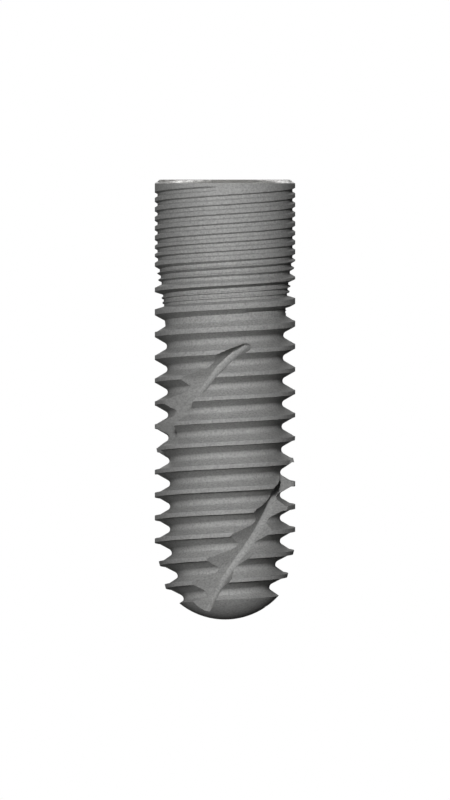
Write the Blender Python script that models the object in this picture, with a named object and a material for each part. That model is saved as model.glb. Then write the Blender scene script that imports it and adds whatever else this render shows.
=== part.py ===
"""Dental implant fixture: one turned and milled titanium screw.

It stands on its platform with the apex up. Z runs along the axis, from the
platform face at 0 to the apex. The front of the implant faces -Y. Lengths are
in millimetres and angles in degrees, unless a name says otherwise.
"""

from math import cos, radians, sin, sqrt, tan

import bmesh
import bpy

MM = 0.001  # metres in a millimetre

# Turned body
LENGTH = 13.0
BODY_DIAMETER = 4.15
PLATFORM_BEVEL_WIDTH = 0.154
PLATFORM_BEVEL_HEIGHT = 0.11
APEX_TAPER_START = 10.83
APEX_TAPER_ANGLE = 14.5
APEX_DOME_RADIUS = 2.13

# Core that the threads stand on: its diameter, and where it narrows
COLLAR_CORE_DIAMETER = 4.03
WAIST_CORE_DIAMETER = 3.444
LOWER_CORE_DIAMETER = 3.25
CORE_CONE_START = 2.26
CORE_CONE_END = 4.62
WAIST_END = 8.9

# Main thread, single start and right-handed
THREAD_PITCH = 0.676
CREST_WIDTH = 0.14
FLANK_ANGLE = 30.0
ROOT_RADIUS = 0.12
ROOT_FLAT_SHARE = 0.3  # of the round root's half width that the facets leave flat
THREAD_CREST_AT = 3.927  # height of one crest, on the +X side
GROOVE_START = 2.43
GROOVE_FLOOR_SLOPE = 0.194  # how fast the groove deepens from its start

# Fine thread on the collar, whose starts close up into the main groove
FINE_STARTS = 3
FINE_PITCH = 0.28
FINE_ROOT_WIDTH = 0.078
FINE_START = 0.278
FINE_END = 3.1
FINE_RUN_ANGLE = 36.0
LEAD_CHANGE_TURNS = 2.0

# Cutting flutes, milled from the waist through the apex
FLUTE_COUNT = 2
FLUTE_END = 4.887  # height where the flute's deepest line leaves the metal
FLUTE_END_ANGLE = -98.2  # its direction there, before the hook
FLUTE_TWIST = 27.95  # degrees in each millimetre of height
FLUTE_HOOK_ANGLE = 10.0
FLUTE_HOOK_LENGTH = 0.65
FLUTE_FULL_DEPTH = 5.06
FLUTE_END_RADIUS = 0.22
FLUTE_END_SHARE = 0.98  # of that radius, where the cutter stops
FLUTE_CORE_DIAMETER = 2.98  # metal left between the two flutes
FLUTE_WALL_ANGLE = 26.0
FLUTE_WALL_TOP_ANGLE = 40.0
FLUTE_WALL_CHANGE = 2.0  # height over which the wall gets flatter
FLUTE_FLOOR_WIDTH = 0.25
FLUTE_FLOOR_ANGLE = 25.0
FLUTE_RAKE_ANGLE = 71.0

# Connection inside the platform: lead-in, hexagon, screw bore
LEAD_IN_DIAMETER = 3.12
LEAD_IN_DEPTH = 0.14
HEX_SIDES = 6
HEX_ACROSS_FLATS = 2.42
HEX_DEPTH = 1.8
SCREW_BORE_DIAMETER = 1.6
SCREW_BORE_DEPTH = 6.2
DRILL_POINT_ANGLE = 118.0

# Facets
SEGMENTS = 28
DOME_STEPS = 7
FLUTE_STEPS = 36
CLEARANCE = 0.25  # how far a cutter stands out of what it cuts
THINNEST_CUT = 0.03

BODY_RADIUS = BODY_DIAMETER / 2
FLANK = radians(FLANK_ANGLE)
TAPER = tan(radians(APEX_TAPER_ANGLE))
FULL_TURN = 360.0
HEX_CORNER_RADIUS = HEX_ACROSS_FLATS / 2 / cos(radians(FULL_TURN / 2 / HEX_SIDES))


def line(height, start, end, first, last):
    """The value at a height on the straight line between two points."""
    return first + (last - first) * (height - start) / (end - start)


def body_radius(height):
    """Radius of the turned blank: a cylinder that tapers towards the apex."""
    return BODY_RADIUS - TAPER * max(0.0, height - APEX_TAPER_START)


def core_radius(height):
    """Radius at the foot of the threads."""
    collar, waist, lower = (d / 2 for d in (COLLAR_CORE_DIAMETER, WAIST_CORE_DIAMETER, LOWER_CORE_DIAMETER))
    if height < CORE_CONE_START:
        return collar
    if height < CORE_CONE_END:
        return line(height, CORE_CONE_START, CORE_CONE_END, collar, waist)
    if height < WAIST_END:
        return line(height, CORE_CONE_END, WAIST_END, waist, lower)
    return lower - TAPER * max(0.0, height - APEX_TAPER_START)


def groove_floor(height):
    """Radius of the main groove's floor, which runs in from outside the blank."""
    return max(core_radius(height), BODY_RADIUS - GROOVE_FLOOR_SLOPE * (height - GROOVE_START))


def crest_height(turns):
    """Height of the main crest after so many turns, with the longer lead of the fine thread below."""
    extra_lead = FINE_STARTS * FINE_PITCH - THREAD_PITCH
    beyond = max(0.0, -1.0 - turns)
    changing = min(beyond, LEAD_CHANGE_TURNS)
    extra = extra_lead * (changing**2 / (2 * LEAD_CHANGE_TURNS) + beyond - changing)
    return THREAD_CREST_AT + THREAD_PITCH * turns - extra


def groove_centre(turns):
    return (crest_height(turns) + crest_height(turns + 1)) / 2


def groove_mouth(turns):
    return crest_height(turns + 1) - crest_height(turns) - CREST_WIDTH


def around(turns, radius, height):
    """A point of a helix, in metres."""
    angle = radians(FULL_TURN) * turns
    return (radius * cos(angle) * MM, radius * sin(angle) * MM, height * MM)


def main_groove_ring(turns):
    """One section of the main groove: 30 degree flanks, a round root and, where it is deep, straight lips."""
    centre = groove_centre(turns)
    mouth = groove_mouth(turns) / 2
    depth = max(THINNEST_CUT, body_radius(centre) - groove_floor(centre))
    root = min(ROOT_RADIUS, depth)
    root_rise = root * (1 - sin(FLANK))
    flank_depth = min(depth, (mouth - root * cos(FLANK)) / tan(FLANK) + root_rise)
    flank_foot = mouth - (flank_depth - root_rise) * tan(FLANK)
    root_half = root * cos(FLANK)
    half = (
        (flank_foot - root_half * (1 - ROOT_FLAT_SHARE), 0.0),
        (flank_foot, root_rise),
        (mouth, flank_depth),
        (mouth, depth + CLEARANCE),
    )
    outline = [(-offset, rise) for offset, rise in reversed(half)] + list(half)
    return [around(turns, groove_floor(centre + offset) + rise, centre + offset) for offset, rise in outline]


def fine_spacing(turns):
    """Distance between the fine grooves, which share the width that the main groove leaves them."""
    depth = BODY_RADIUS - core_radius(groove_centre(turns))
    width = groove_mouth(turns) - 2 * depth * tan(FLANK) - FINE_ROOT_WIDTH
    return width / max(1, FINE_STARTS - 1)


def fine_centre(turns, start):
    return groove_centre(turns) + (start - (FINE_STARTS - 1) / 2) * fine_spacing(turns)


def fine_groove_ring(turns, start, first, last):
    """One section of a fine groove, lifted clear of the body at both of its ends."""
    centre = fine_centre(turns, start)
    run = FINE_RUN_ANGLE / FULL_TURN
    lift = max(0.0, 1 - (turns - first) / run, 1 - (last - turns) / run)
    floor = core_radius(centre) + lift * (BODY_RADIUS + THINNEST_CUT - core_radius(centre))
    rise = BODY_RADIUS + CLEARANCE - core_radius(centre)
    root = FINE_ROOT_WIDTH / 2
    mouth = root + rise * tan(FLANK)
    outline = ((-mouth, rise), (-root, 0.0), (root, 0.0), (mouth, rise))
    return [around(turns, floor + up, centre + offset) for offset, up in outline]


def steps_between(height_of, low, high):
    """The turns, in steps of one facet, at which a helix is between two heights."""
    most = int(2 * SEGMENTS * LENGTH / min(THREAD_PITCH, FINE_PITCH))
    turns = [step / SEGMENTS for step in range(-most, most)]
    return [turn for turn in turns if low <= height_of(turn) <= high]


def flute_angle(height):
    """Direction of the flute's deepest line, in degrees round from +X."""
    below = height - FLUTE_END
    hook = max(0.0, 1 - below / FLUTE_HOOK_LENGTH)
    return FLUTE_END_ANGLE + FLUTE_TWIST * below - FLUTE_HOOK_ANGLE * hook**2


def flute_wall_angle(height):
    change = min(1.0, max(0.0, (height - FLUTE_FULL_DEPTH) / FLUTE_WALL_CHANGE))
    return FLUTE_WALL_TOP_ANGLE + (FLUTE_WALL_ANGLE - FLUTE_WALL_TOP_ANGLE) * change


def flute_ring(height, offset_angle):
    """One level section of a flute: broad wall, narrow floor and steep rake face, closed outside the body."""
    above = min(FLUTE_END_RADIUS, max(0.0, FLUTE_FULL_DEPTH - height))
    run_out = FLUTE_END_RADIUS - sqrt(FLUTE_END_RADIUS**2 - above**2)
    bottom = body_radius(height) - (BODY_DIAMETER - FLUTE_CORE_DIAMETER) / 2 + run_out
    slopes = (flute_wall_angle(height), FLUTE_FLOOR_ANGLE, FLUTE_RAKE_ANGLE)
    wall, floor, rake = (tan(radians(angle)) for angle in slopes)
    floor_rise = FLUTE_FLOOR_WIDTH * floor
    height_cut = (BODY_DIAMETER - FLUTE_CORE_DIAMETER) / 2 + CLEARANCE
    outline = (
        (0.0, bottom),
        (-FLUTE_FLOOR_WIDTH, bottom + floor_rise),
        (-FLUTE_FLOOR_WIDTH - (height_cut - floor_rise) / rake, bottom + height_cut),
        (height_cut / wall, bottom + height_cut),
    )
    angle = radians(flute_angle(height) + offset_angle)
    return [
        (
            (out * cos(angle) - along * sin(angle)) * MM,
            (out * sin(angle) + along * cos(angle)) * MM,
            height * MM,
        )
        for along, out in outline
    ]


def finish_mesh(name, bm):
    bmesh.ops.recalc_face_normals(bm, faces=bm.faces)
    mesh = bpy.data.meshes.new(name)
    bm.to_mesh(mesh)
    bm.free()
    made = bpy.data.objects.new(name, mesh)
    bpy.context.scene.collection.objects.link(made)
    return made


def lofted(name, rings):
    """A closed solid through a row of rings with the same number of points."""
    bm = bmesh.new()
    rows = [[bm.verts.new(point) for point in ring] for ring in rings]
    for row, following in zip(rows, rows[1:]):
        for i in range(len(row)):
            j = (i + 1) % len(row)
            bm.faces.new((row[i], row[j], following[j], following[i]))
    bm.faces.new(rows[0])
    bm.faces.new(rows[-1])
    return finish_mesh(name, bm)


def cut(body, cutter, solver="EXACT"):
    """Takes the cutter out of the body and leaves the cutter as a hidden helper."""
    cutter.hide_render = True
    cutter.display_type = "WIRE"
    boolean = body.modifiers.new(cutter.name, "BOOLEAN")
    boolean.operation = "DIFFERENCE"
    boolean.solver = solver
    boolean.object = cutter


def dome_height(radius):
    return LENGTH - APEX_DOME_RADIUS + sqrt(APEX_DOME_RADIUS**2 - radius**2)


def dome_edge():
    """Radius at which the tapered side meets the apex dome, found by halving."""
    low, high = 0.0, min(BODY_RADIUS, APEX_DOME_RADIUS)
    for _ in range(60):
        middle = (low + high) / 2
        if middle < body_radius(dome_height(middle)):
            low = middle
        else:
            high = middle
    return low


def blank_profile():
    """Half section of the turned blank, from the apex down its outside and up the bore."""
    edge = dome_edge()
    bore = SCREW_BORE_DIAMETER / 2
    drill_point = bore / tan(radians(DRILL_POINT_ANGLE / 2))
    dome = [edge * step / DOME_STEPS for step in range(DOME_STEPS + 1)]
    return [(radius, dome_height(radius)) for radius in dome] + [
        (BODY_RADIUS, APEX_TAPER_START),
        (BODY_RADIUS, PLATFORM_BEVEL_HEIGHT),
        (BODY_RADIUS - PLATFORM_BEVEL_WIDTH, 0.0),
        (LEAD_IN_DIAMETER / 2, 0.0),
        (HEX_CORNER_RADIUS, LEAD_IN_DEPTH),
        (bore, LEAD_IN_DEPTH),
        (bore, SCREW_BORE_DEPTH),
        (0.0, SCREW_BORE_DEPTH + drill_point),
    ]


def turned_blank(name):
    bm = bmesh.new()
    points = [bm.verts.new((radius * MM, 0.0, height * MM)) for radius, height in blank_profile()]
    for start, end in zip(points, points[1:]):
        bm.edges.new((start, end))
    mesh = bpy.data.meshes.new(name)
    bm.to_mesh(mesh)
    bm.free()
    blank = bpy.data.objects.new(name, mesh)
    bpy.context.scene.collection.objects.link(blank)
    turning = blank.modifiers.new("turning", "SCREW")
    turning.steps = SEGMENTS
    turning.render_steps = SEGMENTS
    turning.use_merge_vertices = True
    turning.merge_threshold = 1e-7
    return blank


def hex_cutter():
    return lofted(
        "hex_cutter",
        [
            [around(side / HEX_SIDES, HEX_CORNER_RADIUS, height) for side in range(HEX_SIDES)]
            for height in (-CLEARANCE, HEX_DEPTH)
        ],
    )


def main_groove_cutter():
    turns = steps_between(groove_centre, GROOVE_START - THREAD_PITCH / 2, LENGTH + CLEARANCE)
    return lofted("main_groove_cutter", [main_groove_ring(turn) for turn in turns])


def fine_groove_cutter(start):
    turns = steps_between(lambda turn: fine_centre(turn, start), FINE_START, FINE_END)
    rings = [fine_groove_ring(turn, start, turns[0], turns[-1]) for turn in turns]
    return lofted(f"fine_groove_cutter_{start + 1}", rings)


def flute_cutter(number):
    top = FLUTE_FULL_DEPTH - FLUTE_END_SHARE * FLUTE_END_RADIUS
    bottom = LENGTH + CLEARANCE
    offset = number * FULL_TURN / FLUTE_COUNT
    heights = [line(step, 0, FLUTE_STEPS, top, bottom) for step in range(FLUTE_STEPS + 1)]
    return lofted(f"flute_cutter_{number + 1}", [flute_ring(height, offset) for height in heights])


def blasted_titanium():
    material = bpy.data.materials.new("blasted_titanium")
    material.use_nodes = True
    shader = material.node_tree.nodes["Principled BSDF"]
    shader.inputs["Base Color"].default_value = (0.33, 0.33, 0.325, 1.0)
    shader.inputs["Metallic"].default_value = 1.0
    shader.inputs["Roughness"].default_value = 0.55
    return material


def implant_fixture():
    fixture = turned_blank("implant_fixture")
    fixture.data.materials.append(blasted_titanium())
    cut(fixture, hex_cutter())
    cut(fixture, main_groove_cutter())
    for start in range(FINE_STARTS):
        cut(fixture, fine_groove_cutter(start), "MANIFOLD")
    for number in range(FLUTE_COUNT):
        cut(fixture, flute_cutter(number), "MANIFOLD")
    return fixture


for leftover in list(bpy.data.objects):
    bpy.data.objects.remove(leftover)
implant_fixture()
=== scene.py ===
from math import atan, cos, pi, radians, sin, sqrt, tan

import bpy
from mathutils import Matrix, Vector


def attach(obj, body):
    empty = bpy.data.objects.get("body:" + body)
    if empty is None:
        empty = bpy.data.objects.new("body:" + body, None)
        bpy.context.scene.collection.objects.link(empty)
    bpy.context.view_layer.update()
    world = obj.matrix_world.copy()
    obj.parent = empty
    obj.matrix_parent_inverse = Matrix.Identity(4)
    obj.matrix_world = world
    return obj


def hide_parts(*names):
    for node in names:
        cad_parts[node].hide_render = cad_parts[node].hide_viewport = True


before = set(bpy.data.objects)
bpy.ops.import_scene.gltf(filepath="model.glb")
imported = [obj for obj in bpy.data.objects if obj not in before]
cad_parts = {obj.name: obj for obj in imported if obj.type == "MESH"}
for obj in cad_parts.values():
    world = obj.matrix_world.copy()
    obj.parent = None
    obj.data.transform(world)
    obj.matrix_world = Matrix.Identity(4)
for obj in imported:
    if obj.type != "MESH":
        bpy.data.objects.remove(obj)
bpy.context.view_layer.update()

# Looks of a dental implant fixture. It stands on its platform with the apex up,
# heights are counted from the platform face, and sizes are in millimetres.
mm = 0.001
turn = 2 * pi

body = {
    "length": 13.0,
    "radius": 2.075,
    "bevelWidth": 0.154,
    "bevelHeight": 0.11,
    "edgeRound": 0.012,
    "taperStart": 10.83,
    "taperAngle": 14.5,
    "domeRadius": 2.13,
    "domeSteps": 20,
    "domeFit": 0.00001,  # how exactly the dome's edge is found
    "core": ((2.26, 2.015), (4.62, 1.7225), (7.96, 1.666), (8.88, 1.625)),  # height, core's radius
    "facets": 160,
    "clearance": 0.25,  # how far a cutter stands out of the metal
    "weld": 0.001,  # points nearer than this become one
    "smoothAngle": 24.0,  # degrees, edges sharper than this stay sharp
}


def between(table, at):  # straight lines through a table of (place, value)
    if at <= table[0][0]:
        return table[0][1]
    for (low, first), (high, last) in zip(table, table[1:]):
        if at <= high:
            return first + (last - first) * (at - low) / (high - low)
    return table[-1][1]


def bodyRadius(height):
    return body["radius"] - tan(radians(body["taperAngle"])) * max(0.0, height - body["taperStart"])


def coreRadius(height):
    return between(body["core"], height) - (body["radius"] - bodyRadius(height))


def around(turns, radius, height):  # a place on a helix, in metres
    return Vector((radius * cos(turn * turns), radius * sin(turn * turns), height)) * mm


def clearSelection():
    if bpy.context.object and bpy.context.object.mode != "OBJECT":
        bpy.ops.object.mode_set(mode="OBJECT")
    bpy.ops.object.select_all(action="DESELECT")


def openForEdit(piece):
    clearSelection()
    piece.select_set(True)
    bpy.context.view_layer.objects.active = piece
    bpy.ops.object.mode_set(mode="EDIT")
    bpy.ops.mesh.select_all(action="SELECT")


def sealed(piece):  # welds the seams, fills the ends and turns the faces outwards
    openForEdit(piece)
    bpy.ops.mesh.remove_doubles(threshold=body["weld"] * mm)
    bpy.ops.mesh.fill_holes(sides=0)
    bpy.ops.mesh.normals_make_consistent(inside=False)
    bpy.ops.object.mode_set(mode="OBJECT")
    return piece


def rolledBar(name, rings):  # a gridded sheet rolled up into a bar through the rings of points
    sides = len(rings[0])
    clearSelection()
    bpy.ops.mesh.primitive_grid_add(x_subdivisions=sides, y_subdivisions=len(rings) - 1, size=2)
    bar = bpy.context.object
    bar.name = name
    for vertex in bar.data.vertices:
        side = round((vertex.co.x + 1) / 2 * sides) % sides
        ring = round((vertex.co.y + 1) / 2 * (len(rings) - 1))
        vertex.co = rings[ring][side]
    return sealed(bar)


def carve(piece, cutter):
    clearSelection()
    bpy.context.view_layer.objects.active = piece
    carving = piece.modifiers.new(cutter.name, "BOOLEAN")
    carving.operation = "DIFFERENCE"
    carving.solver = "MANIFOLD"
    carving.object = cutter
    bpy.ops.object.modifier_apply(modifier=carving.name)
    bpy.data.objects.remove(cutter)


connection = {
    "leadInRadius": 1.56,
    "leadInDepth": 0.14,
    "hexFlats": 2.42,
    "hexCorner": 0.1,
    "hexCornerSteps": 4,
    "hexDepth": 1.8,
    "boreRadius": 0.8,
    "boreDepth": 6.2,
    "drillAngle": 118.0,
    "screwPitch": 0.35,
    "screwDepth": 0.12,
    "screwStart": 2.3,
    "screwEnd": 5.6,
    "screwRunIn": 0.5,  # turns over which its groove deepens at either end
    "screwFoot": 0.44,  # half widths of its groove at the bore and at the bottom, in pitches
    "screwCrown": 0.06,
    "screwInset": 0.1,  # how far its cutter reaches into the bore's hollow
    "screwLap": 0.02,  # how far it overlaps the bore's wall
    "screwFacets": 64,
}


def hexRadius():  # from the axis to a corner
    return connection["hexFlats"] / 2 / cos(radians(30))


def domeHeight(radius):
    return body["length"] - body["domeRadius"] + sqrt(body["domeRadius"] ** 2 - radius**2)


def domeEdge():  # radius where the tapered side meets the dome
    low, high = 0.0, body["radius"]
    while high - low > body["domeFit"]:
        middle = (low + high) / 2
        low, high = (middle, high) if middle < bodyRadius(domeHeight(middle)) else (low, middle)
    return low


def blankProfile():  # half section of the turned blank, from the apex down its side and up the bore
    edge, steps, rounding = domeEdge(), body["domeSteps"], body["edgeRound"]
    bevelIn = body["radius"] - body["bevelWidth"]
    bore, depth = connection["boreRadius"], connection["boreDepth"]
    dome = [(edge * step / steps, domeHeight(edge * step / steps)) for step in range(steps + 1)]
    return dome + [
        (body["radius"], body["taperStart"]),
        (body["radius"], body["bevelHeight"] + rounding),
        (body["radius"] - rounding, body["bevelHeight"] - rounding / 2),
        (bevelIn + rounding, rounding / 2),
        (bevelIn - rounding, 0.0),
        (connection["leadInRadius"] + rounding, 0.0),
        (connection["leadInRadius"] - rounding / 2, rounding / 2),
        (hexRadius(), connection["leadInDepth"]),
        (bore, connection["leadInDepth"]),
        (bore, depth),
        (0.0, depth + bore / tan(radians(connection["drillAngle"] / 2))),
    ]


def turnedBlank():  # the profile is drawn point by point and spun round the axis
    points = [Vector((radius, 0.0, height)) * mm for radius, height in blankProfile()]
    clearSelection()
    bpy.ops.mesh.primitive_plane_add(size=mm, location=points[0])
    blank = bpy.context.object
    bpy.ops.object.mode_set(mode="EDIT")
    bpy.ops.mesh.merge(type="CENTER")  # the profile's first point
    for start, end in zip(points, points[1:]):
        bpy.ops.mesh.extrude_vertices_move(TRANSFORM_OT_translate={"value": end - start})
    bpy.ops.mesh.select_all(action="SELECT")
    bpy.ops.mesh.spin(steps=body["facets"], angle=turn, center=(0, 0, 0), axis=(0, 0, 1))
    bpy.ops.object.mode_set(mode="OBJECT")
    clearSelection()
    blank.select_set(True)
    bpy.ops.object.transform_apply(location=True, rotation=True, scale=True)
    return sealed(blank)


def hexSocket():
    depth = connection["hexDepth"] + body["clearance"]
    clearSelection()
    bpy.ops.mesh.primitive_cylinder_add(
        vertices=6,
        radius=hexRadius() * mm,
        depth=depth * mm,
        location=(0, 0, (connection["hexDepth"] - depth / 2) * mm),
    )
    socket = bpy.context.object
    socket.name = "hexSocket"
    bpy.ops.object.transform_apply(location=True, rotation=True, scale=True)
    openForEdit(socket)
    bpy.ops.mesh.select_all(action="DESELECT")
    bpy.ops.object.mode_set(mode="OBJECT")
    for edge in socket.data.edges:
        low, high = (socket.data.vertices[i].co for i in edge.vertices)
        edge.select = abs(high.z - low.z) > mm  # the upright edges
    bpy.ops.object.mode_set(mode="EDIT")
    bpy.ops.mesh.select_mode(type="EDGE")
    bpy.ops.mesh.bevel(offset=connection["hexCorner"] * mm, segments=connection["hexCornerSteps"])
    bpy.ops.object.mode_set(mode="OBJECT")
    return socket


def screwThread():  # the abutment screw's thread, which widens the bore
    pitch, facets = connection["screwPitch"], connection["screwFacets"]
    foot, crown = pitch * connection["screwFoot"], pitch * connection["screwCrown"]
    inner = connection["boreRadius"] - connection["screwInset"]
    wall = connection["boreRadius"] - connection["screwLap"]
    count = int((connection["screwEnd"] - connection["screwStart"]) / pitch * facets)
    rings = []
    for step in range(count + 1):
        turns = step / facets
        height = connection["screwStart"] + pitch * turns
        fromEnd = min(turns, (count - step) / facets)
        share = min(1.0, fromEnd / connection["screwRunIn"])
        outer = wall + connection["screwDepth"] * share + connection["screwLap"]
        lower = ((inner, -foot), (wall, -foot), (outer, -crown))
        upper = ((outer, crown), (wall, foot), (inner, foot))
        rings.append([around(turns, radius, height + along) for radius, along in lower + upper])
    return rolledBar("screwThread", rings)


blank = turnedBlank()
blank.name = "threadedFixture"
carve(blank, hexSocket())
carve(blank, screwThread())
print("turned blank with its connection:", len(blank.data.polygons), "faces")


thread = {
    "pitch": 0.676,
    "crestAt": 3.913,  # a crest's height on the +X side
    "crestWidth": (  # height, width
        (4.2, 0.15), (5.0, 0.118), (7.0, 0.108), (9.3, 0.132), (10.7, 0.12),
    ),
    "flankAngle": 30.0,
    "rootRadius": ((4.3, 0.03), (4.6, 0.12)),  # height, radius: nearly sharp where the collar ends
    "rootSteps": 8,
    "runInAt": 2.43,  # height where the main groove begins to sink in
    "runInSlope": 0.194,
    "leastDepth": 0.03,
    "leadChangeAt": -1.0,  # turns, where the lead starts to grow towards the collar
    "leadChangeTurns": 2.0,
    "turns": (-8, 20),  # first and last turn that a cutter may have
}
flank = radians(thread["flankAngle"])

fineThread = {
    "starts": 3,
    "pitch": 0.28,
    "rootWidth": 0.078,
    "belowCore": ((2.4, 0.02), (2.8, 0.04), (3.6, 0.04), (4.0, 0.02)),  # height, cut into the core
    "flankAngle": ((2.9, 30.0), (3.2, 22.0), (3.4, 17.0)),  # height, slope: steep by the main crest
    "begin": 0.248,
    "end": 4.05,
    "runIn": 0.04,  # turns
    "runOut": 0.15,
    "lift": 0.02,  # how far the ends of its cutter rise out of the metal
    "spacing": (  # turns of the main crest, distance between the grooves
        (-4.0, 0.28), (-3.5, 0.27), (-3.0, 0.251), (-2.5, 0.231),
        (-2.0, 0.188), (-1.5, 0.16), (-1.0, 0.143), (-0.4, 0.08),
    ),
}


# The main crest has the fine thread's lead on the collar and a shorter one below it
def crestHeight(turns):
    extraLead = fineThread["starts"] * fineThread["pitch"] - thread["pitch"]
    beyond = max(0.0, thread["leadChangeAt"] - turns)
    changing = min(beyond, thread["leadChangeTurns"])
    extra = extraLead * (changing**2 / (2 * thread["leadChangeTurns"]) + beyond - changing)
    return thread["crestAt"] + thread["pitch"] * turns - extra


def grooveCentre(turns):
    return (crestHeight(turns) + crestHeight(turns + 1)) / 2


def grooveFloor(height):
    runIn = body["radius"] - thread["runInSlope"] * (height - thread["runInAt"])
    return max(coreRadius(height), runIn)


def grooveRing(turns):  # straight flanks, a round root and, where the groove is deep, upright lips
    centre = grooveCentre(turns)
    crest = between(thread["crestWidth"], centre)
    mouth = (crestHeight(turns + 1) - crestHeight(turns) - crest) / 2
    depth = max(thread["leastDepth"], bodyRadius(centre) - grooveFloor(centre))
    root = min(between(thread["rootRadius"], centre), depth)
    rootRise = root * (1 - sin(flank))
    flankDepth = min(depth, (mouth - root * cos(flank)) / tan(flank) + rootRise)
    foot = mouth - (flankDepth - rootRise) * tan(flank) - root * cos(flank)
    arc = [(pi / 2 - flank) * step / thread["rootSteps"] for step in range(thread["rootSteps"] + 1)]
    half = [(foot + root * sin(a), root * (1 - cos(a))) for a in arc]
    half += [(mouth, flankDepth), (mouth, depth + body["clearance"])]
    outline = [(-along, rise) for along, rise in reversed(half)] + half
    return [
        around(turns, grooveFloor(centre + along) + rise, centre + along) for along, rise in outline
    ]


def turnsBetween(heightOf, low, high):
    first, last = thread["turns"]
    steps = range(first * body["facets"], last * body["facets"])
    return [step / body["facets"] for step in steps if low <= heightOf(step / body["facets"]) <= high]


def mainGroove():
    top = thread["runInAt"] - thread["pitch"] / 2
    turns = turnsBetween(grooveCentre, top, body["length"] + body["clearance"])
    return rolledBar("mainGroove", [grooveRing(t) for t in turns])


def fineGroove(start):  # one of the three fine grooves, which close up into the main groove
    aside = start - (fineThread["starts"] - 1) / 2

    def heightOf(turns):
        return grooveCentre(turns) + aside * between(fineThread["spacing"], turns)

    turns = turnsBetween(heightOf, fineThread["begin"], fineThread["end"])
    root = fineThread["rootWidth"] / 2
    rings = []
    for t in turns:
        height = heightOf(t)
        fromStart, fromEnd = t - turns[0], turns[-1] - t
        lift = max(0.0, 1 - fromStart / fineThread["runIn"], 1 - fromEnd / fineThread["runOut"])
        foot = coreRadius(height) - between(fineThread["belowCore"], height)
        floor = foot + lift * (body["radius"] + fineThread["lift"] - foot)
        rise = body["radius"] + body["clearance"] - foot
        mouth = root + rise * tan(radians(between(fineThread["flankAngle"], height)))
        outline = ((-mouth, rise), (-root, 0.0), (root, 0.0), (mouth, rise))
        rings.append([around(t, floor + up, height + along) for along, up in outline])
    return rolledBar("fineGroove", rings)


carve(blank, mainGroove())
for start in range(fineThread["starts"]):
    carve(blank, fineGroove(start))
print("threads cut:", len(blank.data.polygons), "faces")


flute = {
    "count": 2,
    "end": 4.887,  # height where the deepest line leaves the metal
    "fullDepth": 5.08,  # from here on it has its full width
    "endRadius": 0.24,
    "endShare": 0.98,  # the cutter begins at this share of the end's radius
    "floorRadius": (  # height, radius of the deepest line
        (7.8, 1.485), (8.6, 1.6), (8.9, 1.6), (9.15, 1.54), (9.5, 1.485),
    ),
    "cornerRadius": (  # height, radius of the hollow band
        (5.05, 0.28), (5.5, 0.36), (6.3, 0.34), (6.8, 0.25), (8.2, 0.2),
        (8.6, 0.12), (9.1, 0.13), (9.5, 0.2), (11.5, 0.23),
    ),
    "cornerSteps": 10,
    "rakeAngle": (  # height, slope of the steep face
        (5.9, 80.0), (6.6, 72.0), (7.2, 65.0), (8.6, 71.0), (11.0, 74.0), (11.8, 70.0),
    ),
    "wallAngle": (  # height, slope of the broad wall
        (4.95, 62.0), (5.2, 52.0), (5.6, 49.0), (5.85, 36.0), (7.5, 26.0),
        (8.6, 20.0), (9.15, 20.0), (9.5, 23.5), (11.4, 23.0), (12.2, 33.0),
    ),
    "startAngle": -98.2,
    "twist": 27.95,  # degrees per millimetre
    "hook": 10.0,  # degrees that the end lies further round
    "hookLength": 0.71,
    "hookCurve": 1.5,
    "rings": 150,
}


def fluteAngle(height):  # direction of the flute's deepest line
    hook = max(0.0, 1 - (height - flute["end"]) / flute["hookLength"])
    straight = flute["startAngle"] + flute["twist"] * (height - flute["end"])
    return straight - flute["hook"] * hook ** flute["hookCurve"]


def fluteRing(height, offset):  # broad wall, hollow band and steep rake face
    above = min(flute["endRadius"], max(0.0, flute["fullDepth"] - height)) / flute["endRadius"]
    narrowed = sqrt(1 - above**2)  # the end of the flute is round
    deepest = between(flute["floorRadius"], height)
    bottom = deepest - (body["radius"] - bodyRadius(height)) + flute["endRadius"] * (1 - narrowed)
    reach = body["radius"] + body["clearance"] - deepest
    corner = between(flute["cornerRadius"], height)
    rake, wall = (radians(between(flute[face], height)) for face in ("rakeAngle", "wallAngle"))
    slopes = [rake * step / flute["cornerSteps"] for step in range(flute["cornerSteps"], -1, -1)]
    arc = [(-corner * sin(slope), corner * (1 - cos(slope))) for slope in slopes]
    rakeTop = (arc[0][0] - (reach - arc[0][1]) / tan(rake), reach)
    wallTop = (reach / tan(wall), reach)
    profile = [rakeTop] + arc + [wallTop]
    outline = [(along * narrowed if along < 0 else along, up) for along, up in profile]
    angle = radians(fluteAngle(height) + offset)
    out = Vector((cos(angle), sin(angle), 0.0))
    side = Vector((-out.y, out.x, 0.0))
    level = Vector((0, 0, height))
    return [(out * (bottom + up) + side * along + level) * mm for along, up in outline]


def fluteCutter(offset):
    top = flute["fullDepth"] - flute["endShare"] * flute["endRadius"]
    bottom = body["length"] + body["clearance"]
    heights = [top + (bottom - top) * ring / flute["rings"] for ring in range(flute["rings"] + 1)]
    return rolledBar("fluteCutter", [fluteRing(height, offset) for height in heights])


for number in range(flute["count"]):
    carve(blank, fluteCutter(number * 360 / flute["count"]))
print("flutes milled:", len(blank.data.polygons), "faces")


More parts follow.
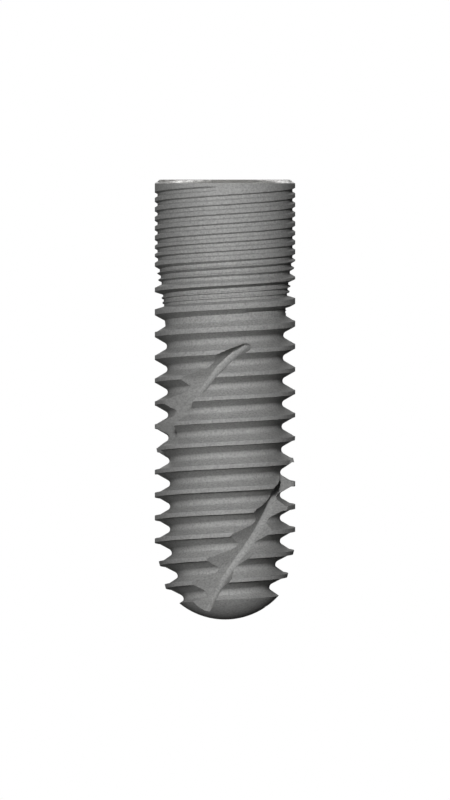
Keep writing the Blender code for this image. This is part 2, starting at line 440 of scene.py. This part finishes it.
# Finishes: pattern scales are per millimetre, depths in millimetres
texture = {
    "roughness": 0.6,  # of the noise itself
    "range": (0.3, 0.7),  # most of its values lie here
}
blasted = {
    "color": (0.33, 0.33, 0.325, 1.0),
    "metallic": 0.0,
    "roughness": 0.6,
    "roughnessRange": 0.08,
    "grainScale": 16.0,
    "grainDetail": 5,
    "grainDepth": 0.006,
    "grainStrength": 0.7,
    "mottle": 0.24,  # how far the grain lightens and darkens the colour
    "patchScale": 1.4,
    "patchDetail": 3,
    "patchMottle": 0.04,
}
machined = {
    "color": (0.5, 0.495, 0.485, 1.0),
    "anisotropy": 0.5,
    "roughness": 0.13,
    "smoother": 0.04,
    "rougher": 0.06,
    "smearScale": 6.0,
    "smearDetail": 4,
    "ringScale": 30.0,
    "ringWaver": 0.4,
    "ringDepth": 0.0006,
    "ringStrength": 0.5,
    "innerRadius": 1.47,  # the socket and bore lie inside it, the flutes' floors outside
    "beyondBore": 1.0,  # the drilled tip ends within this depth past the bore
}


def newMaterial(name):
    material = bpy.data.materials.new(name)
    material.use_nodes = True
    tree = material.node_tree
    coordinates = tree.nodes.new("ShaderNodeTexCoord")
    toMillimetres = tree.nodes.new("ShaderNodeVectorMath")
    toMillimetres.operation = "SCALE"
    toMillimetres.inputs["Scale"].default_value = 1 / mm
    tree.links.new(coordinates.outputs["Object"], toMillimetres.inputs[0])
    return material, tree, tree.nodes["Principled BSDF"], toMillimetres.outputs[0]


def noise(tree, place, scale, detail):
    node = tree.nodes.new("ShaderNodeTexNoise")
    node.inputs["Scale"].default_value = scale
    node.inputs["Detail"].default_value = detail
    node.inputs["Roughness"].default_value = texture["roughness"]
    tree.links.new(place, node.inputs["Vector"])
    return node.outputs["Fac"]


def spread(tree, value, low, high):  # maps a texture's middle range to low and high
    node = tree.nodes.new("ShaderNodeMapRange")
    node.inputs["From Min"].default_value, node.inputs["From Max"].default_value = texture["range"]
    node.inputs["To Min"].default_value, node.inputs["To Max"].default_value = low, high
    tree.links.new(value, node.inputs["Value"])
    return node.outputs["Result"]


def bumped(tree, shader, height, depth, strength):
    node = tree.nodes.new("ShaderNodeBump")
    node.inputs["Distance"].default_value = depth * mm
    node.inputs["Strength"].default_value = strength
    tree.links.new(height, node.inputs["Height"])
    tree.links.new(node.outputs["Normal"], shader.inputs["Normal"])


def blastedTitanium():
    material, tree, shader, place = newMaterial("blastedTitanium")
    shader.inputs["Metallic"].default_value = blasted["metallic"]
    shader.inputs["Specular IOR Level"].default_value = 0.0
    grain = noise(tree, place, blasted["grainScale"], blasted["grainDetail"])
    patches = noise(tree, place, blasted["patchScale"], blasted["patchDetail"])
    both = tree.nodes.new("ShaderNodeMath")
    both.operation = "MULTIPLY"
    layers = ((grain, blasted["mottle"]), (patches, blasted["patchMottle"]))
    for slot, (pattern, mottle) in enumerate(layers):
        tree.links.new(spread(tree, pattern, 1 - mottle, 1 + mottle), both.inputs[slot])
    tint = tree.nodes.new("ShaderNodeMix")
    tint.data_type = "RGBA"
    tint.blend_type = "MULTIPLY"
    tint.inputs["Factor"].default_value = 1.0
    tint.inputs["A"].default_value = blasted["color"]
    tree.links.new(both.outputs[0], tint.inputs["B"])
    tree.links.new(tint.outputs["Result"], shader.inputs["Base Color"])
    matt, change = blasted["roughness"], blasted["roughnessRange"]
    tree.links.new(spread(tree, grain, matt + change, matt - change), shader.inputs["Roughness"])
    bumped(tree, shader, grain, blasted["grainDepth"], blasted["grainStrength"])
    return material


def machinedTitanium():
    material, tree, shader, place = newMaterial("machinedTitanium")
    shader.inputs["Metallic"].default_value = 1.0
    shader.inputs["Anisotropic"].default_value = machined["anisotropy"]
    shader.inputs["Base Color"].default_value = machined["color"]
    rings = tree.nodes.new("ShaderNodeTexWave")
    rings.wave_type = "RINGS"
    rings.rings_direction = "Z"
    rings.inputs["Scale"].default_value = machined["ringScale"]
    rings.inputs["Distortion"].default_value = machined["ringWaver"]
    tree.links.new(place, rings.inputs["Vector"])
    smear = noise(tree, place, machined["smearScale"], machined["smearDetail"])
    low = machined["roughness"] - machined["smoother"]
    high = machined["roughness"] + machined["rougher"]
    tree.links.new(spread(tree, smear, low, high), shader.inputs["Roughness"])
    bumped(tree, shader, rings.outputs["Fac"], machined["ringDepth"], machined["ringStrength"])
    return material


blank.data.materials.clear()
blank.data.materials.append(blastedTitanium())
blank.data.materials.append(machinedTitanium())
deepestInside = connection["boreDepth"] + machined["beyondBore"]
bevelTop = body["bevelHeight"] - body["edgeRound"]
for face in blank.data.polygons:
    radius, height = face.center.xy.length / mm, face.center.z / mm
    inside = radius < machined["innerRadius"] and height < deepestInside
    face.material_index = 1 if inside or height < bevelTop else 0
clearSelection()
blank.select_set(True)
bpy.context.view_layer.objects.active = blank
bpy.ops.object.shade_smooth_by_angle(angle=radians(body["smoothAngle"]))
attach(blank, "root")
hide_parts("implant_fixture")
print("finishes given")


studio = {  # directions are azimuth and elevation in degrees
    "strip": {
        "from": (2, -12), "away": 40.0, "width": 2.0, "height": 44.0, "reach": 5.0, "power": 0.00068,
    },
    "back": {"from": (140, 0), "strength": 0.5, "softness": 120},
    "kickers": {"left": (150, -48), "right": (202, -34)},  # lamps that the bevel's two ends mirror
    "kickerStrength": 1.5,
    "kickerSoftness": 20,
    "sunDistance": 100.0,
    "fill": 0.03,
    "floorLight": 4.1,
    "floorSoftness": 60,
    "floorSize": 1600.0,
    "floorDrop": 0.001,  # the floor lies this far below the platform face
    "floorColor": (0.8, 0.8, 0.8, 1.0),
}


def direction(azimuth, elevation):  # azimuth 0 is the camera's side, 90 is +X
    a, e = radians(azimuth), radians(elevation)
    return Vector((sin(a) * cos(e), -cos(a) * cos(e), sin(e)))


def sun(name, azimuth, elevation, strength, softness):
    towards = direction(azimuth, elevation)
    clearSelection()
    bpy.ops.object.light_add(type="SUN", location=towards * studio["sunDistance"] * mm)
    lamp = bpy.context.object
    lamp.name = name
    lamp.rotation_euler = towards.to_track_quat("Z", "Y").to_euler()
    lamp.data.energy = strength
    lamp.data.angle = radians(softness)
    return lamp


strip = studio["strip"]  # tall softbox with a grid, which keeps its light narrow
towards = direction(*strip["from"])
middle = Vector((0, 0, body["length"] / 2 * mm))
clearSelection()
bpy.ops.object.light_add(type="AREA", location=middle + towards * strip["away"] * mm)
lamp = bpy.context.object
lamp.name = "strip"
lamp.rotation_euler = towards.to_track_quat("Z", "Y").to_euler()
lamp.data.shape = "RECTANGLE"
lamp.data.size = strip["width"] * mm
lamp.data.size_y = strip["height"] * mm
lamp.data.spread = 2 * atan(strip["reach"] / strip["away"])
lamp.data.energy = strip["power"]
lamp.visible_camera = False
sun("back", *studio["back"]["from"], studio["back"]["strength"], studio["back"]["softness"])
for side, place in studio["kickers"].items():
    sun(side + "Kicker", *place, studio["kickerStrength"], studio["kickerSoftness"])

clearSelection()
bpy.ops.mesh.primitive_plane_add(
    size=studio["floorSize"] * mm, location=(0, 0, -studio["floorDrop"] * mm)
)
floor = bpy.context.object
floor.name = "floor"
floor.visible_shadow = False  # the strip shines up from below the floor's level
floor.visible_diffuse = False
paper = bpy.data.materials.new("floorPaper")
paper.use_nodes = True
shader = paper.node_tree.nodes["Principled BSDF"]
shader.inputs["Base Color"].default_value = studio["floorColor"]
shader.inputs["Roughness"].default_value = 1.0
shader.inputs["Specular IOR Level"].default_value = 0.0
floor.data.materials.append(paper)

# This lamp lights the floor alone
floorLamp = sun("floorLamp", 0, 90, studio["floorLight"], studio["floorSoftness"])
onlyFloor = bpy.data.collections.new("onlyFloor")
onlyFloor.objects.link(floor)
floorLamp.light_linking.receiver_collection = onlyFloor

world = bpy.data.worlds.new("studio")
world.use_nodes = True
bpy.context.scene.world = world
tree = world.node_tree
background = tree.nodes["Background"]
rays = tree.nodes.new("ShaderNodeLightPath")
seen = rays.outputs["Is Camera Ray"]  # the picture, mirrors and glass show a white world
for kind in ("Is Glossy Ray", "Is Transmission Ray"):
    either = tree.nodes.new("ShaderNodeMath")
    either.operation = "MAXIMUM"
    tree.links.new(seen, either.inputs[0])
    tree.links.new(rays.outputs[kind], either.inputs[1])
    seen = either.outputs[0]
strength = tree.nodes.new("ShaderNodeMapRange")
strength.inputs["To Min"].default_value = studio["fill"]
strength.inputs["To Max"].default_value = 1.0
tree.links.new(seen, strength.inputs["Value"])
tree.links.new(strength.outputs["Result"], background.inputs["Strength"])
background.inputs["Color"].default_value = (1, 1, 1, 1)

bpy.context.scene.view_settings.view_transform = "Standard"

camera = {
    "height": 6.512,
    "distance": 200.0,
    "roll": 180.0,  # half a turn, so the platform is at the top of the picture
    "pixel": 0.029545,  # millimetres in one pixel of the picture
    "pictureHeight": 800,
}
clearSelection()
bpy.ops.object.camera_add(
    location=(0, -camera["distance"] * mm, camera["height"] * mm),
    rotation=(radians(90), radians(camera["roll"]), 0),
)
view = bpy.context.object
view.data.type = "ORTHO"
view.data.ortho_scale = camera["pixel"] * camera["pictureHeight"] * mm
view.data.clip_start = mm
bpy.context.scene.camera = view
print("studio ready")
